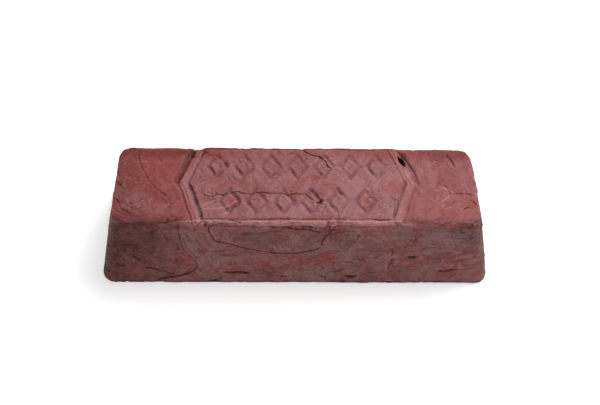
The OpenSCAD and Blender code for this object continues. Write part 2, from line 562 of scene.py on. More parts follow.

# Cracks, by side. A row gives the look and the corners of one or more cracks. The look is half width,
# depth, lip, darkness (painted shade), wobble, taper, evenness and reach of the lip, as far as they are set.
# On top: among the lozenges, along both long edges, beside the void and on the shoulders
TOP_CRACKS = (
    (long,
     ((0.32, 0.6, 0.18), ((1.4, 20.5), (2.6, 17.4), (4.7, 15.3), (6.8, 14.2), (9.4, 13.5), (11.4, 11.4),
      (12.2, 8.8), (14.7, 7.3))),
     ((0.28, 0.5, -0.12, 0.85, 0.3), ((-37, -4.6), (-33, -6.4), (-31.3, -5.7), (-27.7, -5.4), (-23.5, -4.2),
      (-19, -5.2), (-14, -4.4), (-8.7, -4.7), (-5.3, -4.6), (-3.3, -5.4), (-0.3, -4.7), (1.7, -5.3),
      (3, -4.7), (4.2, -5.8), (6, -7.6), (8.2, -8.6))),
     ((0.55, 1, 0, 1, 0.16, 1.2, 1), ((6.8, -8.9), (8.4, -8.6), (10.4, -7.4))),
     ((0.25, 0.35, 0, 0.85, 0.16, 1), ((8.6, -8.6), (9.2, -9.8), (10.6, -10.6))),
     ((0.24, 0.4, -0.1, 0.7), ((-28.5, -18.2), (-24.6, -18), (-21, -17.6), (-16, -17.5), (-11, -17.2),
      (-7, -16.9), (-4.3, -17), (-1, -17.6), (2.6, -17.7))),
     ((0.24, 0.35, 0, 0.7), ((25, -16.6), (27.7, -16.8), (31, -17.2), (36.4, -17.5))),
     ((0.24, 0.3, 0, 0.55), ((-34.5, 17.4), (-27, 17.9), (-18, 17.5), (-9, 17.9), (-1, 17.4))),
     ((0.24, 0.3, 0, 0.5), ((9.5, 17.2), (16, 17.8), (24, 17.3), (33, 17.7))),
     ((0.28, 0.5, -0.12, 0.85, 0.08), ((39.2, 16.8), (40.6, 16.4), (42.6, 13.6), (44.2, 10.6), (45.6, 7.2),
      (46.6, 4.4), (47, 2))),
     ((0.4, 0.4, 0, 0.6), ((36.4, 17), (38.2, 17.2), (39.8, 16.8))),
     ((0.24, 0.2, 0, 0.4), ((37.9, -3.4), (37.3, -8), (36.7, -16.6)))),
    (cross,
     ((0.22, 0.28, 0.1, 0.6, 0.08), ((-62, 17), (-62, 13), (-61, 9), (-59.3, 5), (-57, 1), (-54.7, -2),
      (-51.3, -5.3), (-48.6, -7.3))),
     ((0.28, 0.3, 0, 0.4), ((-71, 4.2), (-69.2, 1), (-67.3, -1.4), (-65.2, -3.6))),
     ((0.28, 0.3, 0.22, 0.5), ((-71.5, -5.6), (-69.3, -7.2), (-67.7, -8.4), (-66.9, -10.2),
      (-66.4, -11.6))),
     ((0.24, 0.25, 0.2, 0.35), ((-66.9, -10.2), (-65.6, -12.8), (-63.3, -14.3), (-60.3, -16))),
     ((0.2, 0.25, 0, 0.7, 0.16, 1), *twins(((-52.2, -8.2), (-50.4, -9.5), (-48.8, -10.8)), 0, 0.9)),
     ((0.28, 0.45, 0, 0.85, 0.16, 1.5), ((59.4, 15.6), (61.2, 12.3), (62.2, 9.4), (62.8, 7.9))),
     ((0.22, 0.2, 0, 0.35), ((55.6, 13.2), (55.8, 9), (56.1, 4))),
     ((0.3, 0.4, 0, 0.6), ((65.4, -6.6), (67, -8.6), (69.4, -11.4), (71.5, -12.6))),
     ((0.26, 0.35, 0, 0.6, 0.16, 1), ((62.6, -12.6), (64, -11.6), (65.8, -10.8)))),
)
# In front: round the lens-shaped lap, down the long fold on the left, the slits near the base, finer ones
FRONT_CRACKS = (
    (front,
     ((0.36, 0.65, 0, 1, 0.12, 1.2, 0.6), LENS_LAP[:15]),
     ((0.34, 0.5, 0, 0.95, 0.2, 1.2, 0.5), LENS_LAP[14:] + ((12.2, 31.6),)),
     ((0.32, 0.5, -0.25, 0.9), ((-7, 30.2), (-2.7, 29.6), (0.7, 29), (3, 29.1), (5.3, 28.8), (8, 27.8),
      (10, 27.6))),
     ((0.22, 0.25, -0.15, 0.4), ((-22.5, 27.4), (-18.3, 27), (-13.3, 27.3), (-8.7, 28.1), (-4, 28.2))),
     ((0.26, 0.45, 0.24, 0.7, 0.12), ((-44.9, 32.8), (-44.7, 27.3), (-44.2, 23), (-43.7, 19.4),
      (-42.9, 17.8), (-41.2, 15.2)), ((-42.2, 16.6), (-39.1, 12.2), (-38.5, 10), (-39.6, 7.8), (-41.7, 6.1),
      (-44.7, 4.8))),
     ((0.36, 0.6, 0.3, 1, 0.16, 2.5, 0.5), ((-40.6, 6.8), (-44.7, 4.8), (-48.3, 3.8), (-51.3, 3.2),
      (-53.4, 2.7), (-55.4, 1.2))),
     ((0.3, 0.4, -0.2), ((-60.2, 8.9), (-56.3, 8.3), (-54, 7.4), (-51.3, 6.7), (-49.3, 5.4), (-47.2, 5.2))),
     ((0.24, 0.3, 0.12, 0.65), ((-46.6, 20.4), (-44, 17.2), (-42.4, 14.9)), ((-46.9, 16), (-46.1, 11.3),
      (-45.3, 6.7)), ((-43.6, 26), (-42.6, 22.6), (-40.8, 19.4)), ((-42.2, 19.6), (-40, 16.6), (-38, 13.4)),
      ((-47.6, 18.4), (-45.2, 15.2), (-43.6, 11))),
     ((0.36, 0.4, 0, 0.8, 0.16, 1), ((-63.4, 15), (-61.7, 13.7), (-60.2, 12)), ((-61.4, 13.9),
      (-60.4, 13.2), (-59.4, 13.4))),
     ((0.8, 1.1, 0.3, 1, 0.1, 2, 0.8), ((-29.4, 6.5), (-27, 6.4), (-24, 6.3), (-21, 6.2), (-17.8, 5.9))),
     ((0.24, 0.3, 0, 0.5), ((-18.4, 5.9), (-14, 5.6), (-10, 4.8), (-6, 4.4), (-3, 4.4))),
     ((0.4, 0.5, 0, 0.9, 0.16, 0.8, 1), ((-6.6, 4.5), (-5, 3.9), (-3.2, 4.5)), ((11, 4.8), (11.6, 3.4),
      (11.4, 2.2))),
     ((0.55, 0.7, 0, 1, 0.25, 0.8, 1), ((18.9, 5), (20.4, 4.2), (21.9, 3.4)), ((21.1, 3.4), (22.6, 4.1),
      (24.3, 5.1))),
     ((0.42, 0.5, 0, 0.85, 0.16, 0.6), ((17.4, 2.4), (19.6, 2.1))),
     ((0.22, 0.25, 0.15, 0.5), ((11.2, 18), (12.3, 14.6), (14.5, 10.2), (15.3, 6.3), (16.8, 3.4))),
     ((0.26, 0.3, 0, 0.6), ((12.6, 25.2), (14.7, 27.2), (19.3, 28.1), (23.4, 27.7)), ((48, 27.4),
      (46.8, 25.8), (45.3, 24.2), (44.1, 21))),
     ((0.24, 0.35, 0, 0.45, 0.35), ((13, 31.4), (13.6, 28.6), (12.2, 26.6), (13.4, 24.2), (12.4, 21.4)),
      ((14.4, 31), (14.2, 28), (15.2, 25))),
     ((0.34, 0.45, 0, 0.8, 0.5, 1.2), ((36.4, 20), (37.2, 17.4), (36.8, 15)), ((38.4, 14.8), (37.4, 13),
      (37.8, 11.4)), ((36.9, 12.6), (36.2, 9.6), (36.7, 8))),
     ((0.6, 0.9, 0.25, 1, 0.16, 2.2, 0.8), ((55, 7.2), (57.4, 7.3), (59.3, 7.4), (61.7, 8.2), (64.6, 8.6))),
     ((0.24, 0.2, 0.12, 0.4, 0.16, 2.5, 0, 1.2), *STREAKS),
     ((0.9, 0.4, 0, 0.6, 0.16, 1.2), ((42.6, 14.6), (44.6, 14.9), (46.8, 14.5))),
     ((0.3, 0.45, 0, 0.85, 0.16, 1.4), ((-35, 1.4), (-31.7, 2), (-28.2, 3.8)), ((28, 6.6), (30.4, 6.2),
      (32.6, 6.8))),
     ((0.24, 0.2, 0.15, 0.2, 0.16, 2.5, 0, 0.8), *twins(((41, 32), (41.6, 29), (41.2, 26.5)), 1.1, 0))),
)
# The same kinds of crack on the sides that can't be seen in the photo
BACK_CRACKS = (
    (back,
     ((0.3, 0.5, 0.35, 0.7, 0.35, 2.5, -0.6), ((-66, 23.6), (-60, 22), (-53, 22.4), (-47, 21.8)),
      ((-43, 22.4), (-36, 20), (-29, 19.4)), ((-24, 20.6), (-17, 20), (-9, 17.4), (-2, 17), (5, 17.8))),
     ((0.3, 0.5, -0.3, 0.75, 0.16, 2.5, -0.6), ((44, 32.6), (45, 27), (47.5, 22), (51, 17.4), (52, 12),
      (49, 7.6), (43, 4.6), (36, 3.2))),
     ((0.3, 0.55, 0, 0.75, 0.3, 2.5, -0.5), FLAP[3:9], FLAP[9:] + FLAP[:1]),
     ((0.55, 0.9, -0.3, 1, 0.16, 2.4, 0.6), ((-54, 7.8), (-48.6, 9), (-43, 8.8)), ((58, 8.8), (62, 10),
      (66, 10.4))),
     ((0.55, 0.8, 0, 1, 0.16, 1, 1), ((-25, 5.4), (-23, 4.6), (-20.6, 2.8))),
     ((0.3, 0.35, 0, 0.65), ((-62, 13), (-57, 10.4), (-52.6, 11.6)), ((-12, 6.2), (-7, 5.2), (-1, 5.6),
      (5, 4.4)), ((38, 30.5), (41, 27.5), (42.6, 23)), ((-38.7, 31.4), (-38, 27), (-36.2, 24.4)),
      ((3, 31.5), (4.4, 28.6), (4, 25.4)), ((62, 31.4), (60.6, 27.6), (61.2, 24)), ((-14, 13), (-6, 11),
      (1, 12.2)), ((60, 19), (66, 17.6), (71, 18.6)))),
)
END_CRACKS = (
    (right_end,
     ((0.3, 0.45, 0.3, 0.7, 0.35, 2.5, -0.6), ((-17, 30.4), (-15.4, 26), (-11, 22.6), (-8.6, 18),
      (-3.4, 15.4), (-1, 11.6))),
     ((0.3, 0.35, 0.25, 0.55, 0.3, 2.5, -0.8), ((14, 31.6), (12.6, 25), (15, 18), (13.4, 11), (15.4, 6)),
      ((-21, 9), (-16.6, 10.8), (-12, 10.2))),
     ((0.5, 0.8, 0, 1, 0.16, 2, 0.4), ((-20.4, 3.2), (-16.4, 4.8), (-12, 5)))),
    (left_end,
     ((0.3, 0.45, -0.3, 0.7, 0.35, 2.5, -0.6), ((18, 18.4), (12.6, 20.6), (8, 24.4), (2, 25.4),
      (-2, 28.6))),
     ((0.3, 0.35, 0, 0.55, 0.16, 2.5, -0.6), ((-12, 31.6), (-13.4, 25), (-11, 18), (-14, 12))),
     ((0.5, 0.7, 0, 1, 0.16, 2, 0.6), ((3, 5.4), (8, 6.8), (12, 9.4)))),
)
BASE_CRACKS = (
    (base,
     ((0.36, 0.5, 0.15), ((-60, -12), (-46, -7), (-30, -9.6), (-14, -4), (-2, -5))),
     ((0.34, 0.5, -0.15), ((8, 15), (24, 9), (40, 12), (56, 5), (66, 6.4))),
     ((0.3, 0.4), ((-38, 14), (-33, 8), (-35, 2)))),
)

# Flow lines: side, middle, stretch, and then radius, start and end of each, in degrees
TOP_FLOW = (
    (cross, -60.5, -7.5, 1.1, (3.2, 20, 200), (5, 150, 330), (6.6, 10, 150), (8.6, 200, 330)),
    (cross, -50, -13, 1.3, (3, 10, 150), (4.6, 20, 120)),
    (long, -33, -9.5, 1.3, (2.4, 30, 200), (4, 160, 280)),
)
FRONT_FLOW = (
    (front, 57, 22, 1.5, (5.2, 200, 330), (6.4, 30, 120), (7.8, 215, 320)),
    (front, -58, 18, 1.4, (6, 250, 350), (8, 260, 340)),
)
BACK_FLOW = (
    (back, -18, 12, 1.5, (5, 20, 150), (7, 60, 200), (9.5, 30, 120)),
    (back, 59, 22, 1.4, (3, 200, 330), (5, 10, 150), (7, 190, 300)),
)
END_FLOW = (
    (right_end, 18, 12, 1.1, (5.4, 100, 200), (7.4, 120, 240), (9, 140, 220)),
    (left_end, 6, 15, 1.1, (4, 30, 160), (6, 200, 330)),
)

# Torn patches: side, middle, radii and height
ROUGH = (
    (long, -32.5, -6.2, 4.6, 2.4, 0.28), (long, -23, -9.5, 2.6, 2.4, 0.22),
    (long, -47.6, -16.6, 3, 2.4, 0.2), (long, -28, 10.5, 2.2, 2.6, 0.3), (front, 37, 11, 1.6, 3, 0.25),
    (front, 12.6, 26, 1.6, 4, 0.2), (cross, 66, -9.4, 2.4, 2.4, 0.2), (front, 0, 30, 12, 1, 0.3),
    (front, -24, 8, 5, 1.2, 0.2), (back, -48, 9, 6, 1.6, 0.25), (back, 5, 26, 2, 5, 0.22),
    (back, 24, 30.4, 16, 1, 0.3), (right_end, 6, 6, 1.6, 5, 0.22), (left_end, 8, 9, 1.4, 4, 0.22),
)

# Nicks, notches and knobs: place, radii, depth and darkness of painted shade
DENTS = (
    ((-38.7, 19.2, 32), (2.6, 2.4, 2.6), 1.5, 0.2), ((-41.2, 14.5, 32), (1.6, 2.4, 2), 0.5, 0.6),
    ((-70.5, 17, 31), (2.4, 1.8, 6), 1.1, 0.2), ((-67.6, 19.5, 31), (1.6, 1.6, 5), 0.8, 0.2),
    ((71.3, 1.2, 28), (1.2, 1, 2.4), -0.5, 0), ((72.8, 3.5, 24), (0.8, 1.2, 3), 0.5, 0.5),
    ((-72.8, -22, 17.2), (2.5, 3, 0.7), 0.8, 1), ((-74.8, -24, 5.6), (3, 3, 0.7), 0.9, 1),
    ((-66.3, -25.3, 0.8), (0.9, 1.5, 1.2), 0.4, 0.9), ((-55, -25.3, 0.9), (1.8, 1.5, 0.8), 0.3, 0.9),
    ((-31.5, -25.3, 1.2), (3, 1.5, 0.5), 0.35, 0.9), ((18.7, -25.3, 1.2), (1.2, 1.5, 0.8), 0.5, 1),
    ((31, -25.3, 0.8), (2.6, 1.5, 0.6), 0.3, 1), ((36, -25.3, 1.2), (2, 1.5, 0.6), 0.4, 1),
    ((41.5, -25.3, 1), (2.4, 1.5, 0.6), 0.35, 0.9), ((56, -25.3, 1.1), (2.6, 1.5, 0.5), 0.3, 0.9),
    ((2.5, 19.2, 32), (1.2, 1.6, 1.4), 0.9, 0.4), ((12, 19.2, 32), (2, 1.4, 1), 0.5, 0.2),
    ((21, 19.2, 32), (1.5, 1.4, 1), 0.6, 0.2), ((29, 19.2, 32), (2.6, 1.4, 1), 0.6, 0.1),
    ((-22, 19.2, 32), (1.8, 1.4, 1), 0.5, 0.2), ((-49.4, -18.8, 31.6), (1, 1.2, 1), 0.5, 0.3),
    ((-34.4, -19.2, 31.2), (0.7, 1, 1.4), 0.4, 0.5), ((11.6, -19, 31.6), (0.8, 1.2, 1.6), 0.6, 0.5),
    ((37.8, -19, 31.4), (1.4, 1.2, 1), 0.6, 0.4), ((24, 25.3, 1), (2.4, 1.5, 1.5), 1, 0.7),
    ((-48, 25.3, 0.6), (3, 1.5, 1), 0.8, 0.7), ((61, 25, 1), (1.6, 1.5, 2.2), 1, 0.7),
    ((75.8, -9, 0.8), (1.5, 2.6, 1.2), 0.9, 0.7), ((-75.8, 11, 0.8), (1.5, 2, 1.5), 0.9, 0.7),
    ((54, 19.2, 31.6), (2.6, 1.4, 1.4), 0.7, 0.3), ((70.4, 20, 30), (5, 5, 18), 1.4, 0),
)
V_NICK_BOTTOM = ((21.6, -24.7, 4.1), (1.7, 1.2, 0.9), 0.6, 0.95)

# Fields of hairlines: chart, count, corners of the field, angle, its spread, seed and strength
EDGE, FOOT = TOP_HALF_W, TOP_HALF_W + BAR_H * SLANT
END_FOOT = TOP_HALF_L + 32
HAIRLINES = (
    ("long", 10, (-66, -16), (-48, 16), 90, 50, 201, 0.6),
    ("long", 60, (-38, -17), (36, 15), 90, 35, 202, 0.8),
    ("long", 18, (48, -16), (66, 16), 80, 40, 203, 0.8),
    ("long", 26, (-46, -19), (46, -17), 0, 10, 204, 1.0),
    ("long", 90, (-74, -FOOT), (74, -EDGE), 0, 30, 205, 0.8),
    ("long", 40, (-70, -EDGE - 5), (70, -EDGE), 0, 12, 206, 1.1),
    ("long", 26, (-52, -EDGE - 28), (-38, -EDGE - 3), -68, 12, 211, 1.0),
    ("long", 26, (40, -EDGE - 24), (72, -EDGE - 6), 16, 8, 212, 0.9),
    ("long", 30, (-36, -EDGE - 30), (36, -EDGE - 14), 8, 22, 213, 1.0),
    ("long", 12, (11, -EDGE - 9), (17, -EDGE), 75, 25, 214, 1.2),
    ("long", 110, (-74, EDGE), (74, FOOT), 0, 30, 207, 0.9),
    ("cross", 26, (-END_FOOT, -22), (-TOP_HALF_L, 22), 70, 40, 208, 0.9),
    ("cross", 26, (TOP_HALF_L, -22), (END_FOOT, 22), 110, 40, 209, 0.9),
    ("base", 60, (-72, -23), (72, 23), 0, 40, 210, 0.9),
)


def top_scratches(skin):
    """Rubbed lines in the panel and on the right, and pale lines along the front top edge as painted
    highlights.
    """
    for corners in (((-37.4, -13.8), (-34.5, -12.2), (-29, -11.9), (-25.6, -10.6), (-22, -7.2)),
                    ((-36.5, -12), (-34, -9.4), (-30.6, -8.2)), ((-30, -15.5), (-25, -13.4), (-20.5, -10.2))):
        scratch(skin, "long", corners)
    # Painted highlights along the front top edge
    for start, stop in ((-27, -20), (-18, -9), (-7, -2), (0, 4), (7, 12.5), (16, 20), (22, 29), (30.5, 36)):
        middle = (start + stop) / 2
        scratch(skin, "long", [(start, -18.8), (middle, -18.4), (stop, -18.9)], bright=1.4)
    for x, y, run, rise in ((54.5, -9.4, 5, 4), (54.8, -11.4, 3, 2.4), (53.6, -8.2, 1.6, 3.4),
                            (56, -12, 3.6, 1.2)):
        scratch(skin, "cross", [(x, y), (x + run * 0.6, y + rise * 0.7), (x + run, y + rise)], bright=0.45)


def base_scratches(skin):
    """The base is scraped level, which leaves long shallow scratches."""
    for i in range(16):
        x, y = -66 + 8.4 * i, 17 * math.sin(2.4 * i)
        scratch(skin, "base", [(x - 9, y - 1.2), (x, y), (x + 11, y + 0.8)], depth=0.1, bright=0.5)


def lay_marks(skin):
    """The void, the cracks, laps, flow lines, scratches, torn patches and nicks, side by side."""
    pit(skin, long, 41.5, 11.8, (1.2, 2.9), 24, 2.4)
    raised_patch(skin, front, LENS_LAP, 0.38, 4.0)
    raised_patch(skin, back, FLAP, 0.35, 4.0)
    for cracks, flow, scratches in ((TOP_CRACKS, TOP_FLOW, top_scratches), (FRONT_CRACKS, FRONT_FLOW, None),
                                    (BACK_CRACKS, BACK_FLOW, None), (END_CRACKS, END_FLOW, None),
                                    (BASE_CRACKS, (), base_scratches)):
        lay_cracks(skin, cracks)
        for lines in flow:
            flow_lines(skin, *lines)
        if scratches:
            scratches(skin)
    for field in HAIRLINES:
        hairlines(skin, *field)
    for seed, patch in enumerate(ROUGH):
        rough_patch(skin, *patch, seed)
    dent(skin, *V_NICK_BOTTOM, seed=60)
    for seed, nick in enumerate(DENTS):
        dent(skin, *nick, seed)


# ---- Unevenness all over
def uneven_pressing(skin):
    """Slow waves, soft lumps, small dimples and the creases of a mass that was pressed half cold."""
    points = skin.points
    body = 1 - smooth(0.5, 0.9, -skin.normals[:, 2])
    level = smooth(0.5, 0.9, skin.normals[:, 2])
    skin.lift += 0.16 * noise(points, 24.0, seed=60) + 0.11 * body * layered(points, 8.0, 3, seed=62)
    skin.lift += 0.05 * body * layered(points, 2.2, 3, seed=66)
    smears = layered(points * (0.3, 1, 1), 3.0, 3, seed=70)
    skin.lift += 0.07 * body * (1 - 0.6 * level) * smears
    dimple = smooth(0.6, 0.85, noise(points, 1.5, seed=80)) * smooth(0, 0.4, noise(points, 12.0, seed=81))
    skin.lift -= 0.25 * body * dimple
    # Painted shade in the dimples
    skin.raise_mask("crack", ALL, 0.5 * body * dimple)


def worn_edges(skin):
    """Chips, dents, rolls and painted highlights on the top edge; a ragged, nicked base edge with painted
    shade.
    """
    points, (x, y, z), nz = skin.points, skin.points.T, skin.normals[:, 2]
    reach = np.abs(x)
    inset_y = TOP_HALF_W - np.abs(y)
    inset_x = TOP_HALF_L - reach
    inset = np.minimum(inset_y, inset_x)
    near_top = smooth(BAR_H - 3.5, BAR_H - 0.5, z)

    # The edge rolls over at the ends and behind, where no ridge stands on it
    beside_panel = np.maximum(smooth(RIDGE_TIP_X - 7, RIDGE_TIP_X, reach), smooth(10, 14, y) * 0.6)
    high_up = smooth(BAR_H - 8, BAR_H - 0.5, z)
    rolled = np.where(reach > TOP_HALF_L - 3, high_up, near_top) * (1 - smooth(-0.5, 3.0, inset))
    rolled *= 1 - 0.6 * smooth(0, 2.0, inset_y - inset_x)
    skin.lift -= 0.75 * rolled * beside_panel * (1 + 0.35 * layered(points, 9.0, 2, seed=88))

    # In front of the panel the edge is a pale bead, squeezed up unevenly, with a painted highlight on its
    # crest
    bead = smooth(1.5, 0.9, inset) * smooth(BAR_H - 1.1, BAR_H - 0.7, z)
    bead *= (1 - beside_panel) * (y < 0)
    pressed = np.clip(layered(points * (0.5, 1, 1), 3.0, 3, seed=89), -0.9, 0.6)
    skin.lift += bead * (0.24 + 0.4 * pressed)
    crest_highlight = bead * smooth(1.2, 0.6, inset) * smooth(BAR_H - 1.0, BAR_H - 0.5, z)
    skin.mask["wear"] += 0.3 * bead + crest_highlight * np.clip(1.3 + 1.6 * pressed, 0.1, 1.8)

    # Chips, and painted highlights in spots along the rim
    rim = near_top * (1 - smooth(0.2, 1.8, inset))
    chip = smooth(0.2, 0.75, layered(points * (0.6, 1, 1), 3.6, 3, seed=90))
    skin.lift += rim * (0.16 * layered(points, 5.0, 3, seed=92) - 0.5 * chip)
    highlight_spots = smooth(-0.2, 0.5, layered(points * (0.5, 1, 1), 4.0, 3, seed=96))
    skin.mask["wear"] += 0.9 * rim * highlight_spots * smooth(0.05, 0.35, nz) * (1 - 0.8 * smooth(4, 14, y))
    skin.mask["warm"] += 0.7 * near_top * smooth(0.1, 0.5, layered(points, 5.0, 2, seed=98)) * (inset < 0.5)

    # The edge round the base
    base_edge = (1 - smooth(0.6, 2.4, z)) * (1 - smooth(0.75, 0.98, -nz))
    ragged = layered(points * (1, 1, 0.4), 3.0, 4, seed=100)
    nick = smooth(0.5, 0.85, layered(points * (1, 1, 0.25), 2.0, 2, seed=104))
    skin.lift += base_edge * (0.12 * ragged - 0.25 * nick)
    # Painted shade in the nicks and along the foot of the sides
    skin.raise_mask("crack", ALL, 0.6 * base_edge * nick)
    skin.mask["shade"] += 0.8 * (1 - smooth(0.3, 2.5, z + 0.8 * ragged)) * (nz > -0.9)


def fuller_ends(skin):
    """Moves the left end, and the front half of the right end, a little outwards along the bar."""
    x, y = skin.points[:, 0], skin.points[:, 1]
    share = np.where(x > 0, 1 - smooth(2, 16, y), 1.0)
    skin.points[:, 0] += 0.75 * np.sign(x) * share * smooth(TOP_HALF_L - 10, TOP_HALF_L, np.abs(x))


# ---- Colour patches, by side: middle, radii, strength and angle.
# The darkening patches are painted shade and go to the mask "crack".
FILM = (
    (long, (-38.5, 2, 3, 6, 0.3), (20, 8, 14, 6, 0.2), (0, -14, 30, 3, 0.2)),
    (cross, (58.7, -2, 2.2, 1.2, 0.6, 10), (-61, -8.5, 6, 4.5, 0.4, 20), (-50, -13, 6, 3, 0.35, 10),
     (51, 5, 3.5, 9, 0.3)),
    (long, (44.2, 5, 1.3, 5, 0.9, 20)),
    (front, (56.5, 22.5, 10, 6, 1, -5), (-4, 23, 14, 4, 0.45), (-30, 12, 7, 6, 0.35, 20),
     (-37, 20, 6, 9, 0.3), (29, 22, 7, 5, 0.4), (-36, 4.5, 6, 2, 0.4, 10), (14, 7, 3, 6, 0.35, -15),
     (41.5, 28.5, 2, 4.5, 0.6, -12), (-46, 25, 3, 5, 0.3), (-12, 30.6, 12, 0.9, 0.5),
     (6, 30.4, 5, 0.8, 0.5), (18, 16, 6, 8, 0.25), (2, 5, 20, 4, 0.4)),
    (long, (0, -9, 20, 6, 0.2)),
    (back, (-50, 16, 13, 6, 0.6, 8), (20, 21, 12, 6, 0.6), (-8, 8, 9, 4, 0.4), (64, 22, 6, 7, 0.6)),
    (right_end, (-5, 17, 8, 6, 0.6), (12, 24, 5, 4, 0.4)),
    (left_end, (7, 15, 7, 7, 0.5), (-13, 24, 5, 4, 0.4)),
    (base, (-30, 2, 30, 9, 0.5, 10), (38, -6, 24, 10, 0.5, -8)),
)
WARM = (
    (long, (8, 3.2, 3.2, 1.2, 0.9), (38, -2, 5, 5, 0.4), (30, -8, 4, 7, 0.3), (-10, -4.6, 17, 1.6, 0.5),
     (-24, -9, 3, 3, 0.4), (43, 0, 1.6, 2, 0.8)),
    (cross, (-66, -14, 4.5, 5, 0.25)),
    (long, (-47, 2, 1.6, 7, 0.6)),
    (cross, (66, -8.5, 3.5, 4, 0.5, 30), (60, 14, 7, 4, 0.3)),
    (long, (-55, 16.5, 16, 2.6, 0.5), (5, 18, 9, 1.2, 0.6)),
    (cross, (-58, 4, 11, 9, 0.3), (60, -13, 9, 4, 0.3)),
    (front, (-38, 30.6, 8, 0.8, 0.8), (-16, 29.2, 9, 0.6, 0.6, 3), (17, 30.6, 5, 1, 0.8),
     (30, 30.6, 8, 0.9, 0.8), (-60, 31.2, 14, 0.6, 0.8), (60, 30.4, 12, 1.2, 0.8, -4), (0, 28, 5, 1, 0.7),
     (0, 24, 3.5, 0.9, 0.35), (-24, 8.4, 7, 1.8, 0.35), (-5, 12, 22, 4, 0.3, 2), (12, 13, 6, 4, 0.3),
     (44, 18, 5, 7, 0.4, -20), (47, 12.5, 4.5, 1.8, 0.45), (60, 6, 9, 3, 0.4), (72, 10, 3, 9, 0.4),
     (-55, 9, 6, 2.2, 0.3), (31, 26.5, 5, 3, 0.3)),
    (back, (-22, 26, 14, 3, 0.4), (-32, 8, 14, 4, 0.4), (48, 14, 6, 8, 0.4), (0, 31, 30, 0.8, 0.7)),
    (right_end, (2, 9, 5, 10, 0.35)),
    (left_end, (-6, 9, 5, 9, 0.35)),
)
# Painted shade: darker areas on the front, mostly at its left and upper right, and on the top's rear rim
PAINTED_SHADE_PATCHES = (
    (front, (-64, 24, 20, 13, 0.42), (-67, 9, 18, 18, 0.34), (-57, 23, 4.5, 2.2, 0.12),
     (-66, 26.4, 7, 3, 0.12), (-71, 7, 7, 7, 0.2), (64, 27.4, 8, 4, 0.24, 20), (67.5, 21, 4, 9, 0.18, -10),
     (58, 23.6, 18, 8, 0.15), (28, 17, 5, 3, 0.1, 30), (-31, 20, 5, 4, 0.08, -20)),
    (long, (-54, 16.5, 26, 4, 0.16), (62, 15.5, 14, 5, 0.22)),
)
# Painted shade in dark brown; on the lens lap in front it is also a dark olive-brown tone
SHADE = (
    (front, (-63, 25, 13, 8, 0.16), (20, 22, 10, 5, 0.18), (-14, 24, 16, 5, 0.3, -6), (7, 25, 8, 3.5, 0.2),
     (40, 26, 3, 6, 0.15), (45, 14.6, 2.6, 1, 0.8), (74, 14, 3, 20, 0.3)),
    (back, (-64, 22, 9, 9, 0.35), (36, 20, 7, 9, 0.3), (-4, 5, 18, 3, 0.3), (70, 10, 5, 9, 0.3),
     (4, 24, 9, 5, 0.25)),
    (cross, (-64, 0, 5, 14, 0.15)),
    (left_end, (0, 14, 26, 40, 0.12)),
    (right_end, (0, 26, 8, 20, 0.25), (14, 10, 9, 9, 0.3)),
)


def clouds(skin):
    """The colour patches, then the shading of whole ends, rims and sides."""
    mask, (x, y, z), (nx, ny, nz) = skin.mask, skin.points.T, skin.normals.T
    for name, patches in (("film", FILM), ("warm", WARM), ("shade", SHADE), ("crack", PAINTED_SHADE_PATCHES)):
        for seed, patch in enumerate((side, *row) for side, *rows in patches for row in rows):
            blotch(skin, name, seed, *patch)
    sides = 1 - smooth(0.3, 0.8, np.abs(nz))
    # Painted shade on both ends, more on the left end and towards the front
    forward = smooth(-6, -19, y)
    end_shade = np.where(nx < 0, 0.26 + 0.5 * forward, 0.14 + 0.3 * forward)
    end_shade *= np.clip(1 + 0.6 * layered(skin.points, 9.0, 3, seed=150), 0.3, 1.5)
    mask["shade"] += sides * end_shade * smooth(0.5, 0.95, np.abs(nx))
    # Along the rear rim of the top: painted shade, and a redder tone
    rear_rim = smooth(0.3, 0.8, nz) * smooth(10.5, 15, y)
    outer = smooth(20, 36, np.abs(x))
    mask["crack"] += rear_rim * (0.1 + 0.05 * outer)
    mask["warm"] += rear_rim * (0.3 + 0.55 * outer)
    # A painted highlight in a broken band just under the front top edge
    highlight_band = smooth(BAR_H - 3.5, BAR_H - 1, z) * smooth(0.5, 0.9, -ny)
    broken = smooth(-0.3, 0.5, layered(skin.points * (0.4, 1, 1), 3.5, 3, seed=140))
    mask["wear"] += (0.45 + 0.35 * smooth(24, 8, np.abs(x + 6))) * highlight_band * broken
    mask["film"] += sides * 0.34 * smooth(-60, -25, x)
    mask["warm"] += sides * 0.15 * smooth(-45, -60, x)
    mask["film"] += 0.25 * (1 - sides) * smooth(5, 25, x)


def make_skin():
    skin = Skin()
    for step in (border, lozenges, lay_marks, uneven_pressing, worn_edges, clouds, fuller_ends):
        step(skin)
    return skin


def placed(name, data):
    """Adds data to the scene as an object."""
    thing = bpy.data.objects.new(name, data)
    bpy.context.collection.objects.link(thing)
    return thing


def bar_mesh(skin):
    points = (skin.points + skin.normals * skin.lift[:, None]) * MM
    mesh = bpy.data.meshes.new(PIECE)
    mesh.from_pydata(points, [], skin.quads.tolist())
    mesh.update()
    for name, values in skin.mask.items():
        layer = mesh.attributes.new(name, "FLOAT", "POINT")
        layer.data.foreach_set("value", np.clip(values, 0, 1).astype(np.float32))
    return mesh


def thinned(mesh, triangles):
    """The mesh as an object with fewer triangles, which stay close together where the detail is."""
    piece = placed(PIECE, mesh)
    modifier = piece.modifiers.new("thin", "DECIMATE")
    modifier.ratio = triangles / (2 * len(mesh.polygons))
    modifier.use_collapse_triangulate = True
    graph = bpy.context.evaluated_depsgraph_get()
    light = bpy.data.meshes.new_from_object(piece.evaluated_get(graph))
    piece.modifiers.clear()
    piece.data = light
    bpy.data.meshes.remove(mesh)
    light.name = PIECE
    light.shade_smooth()
    return piece


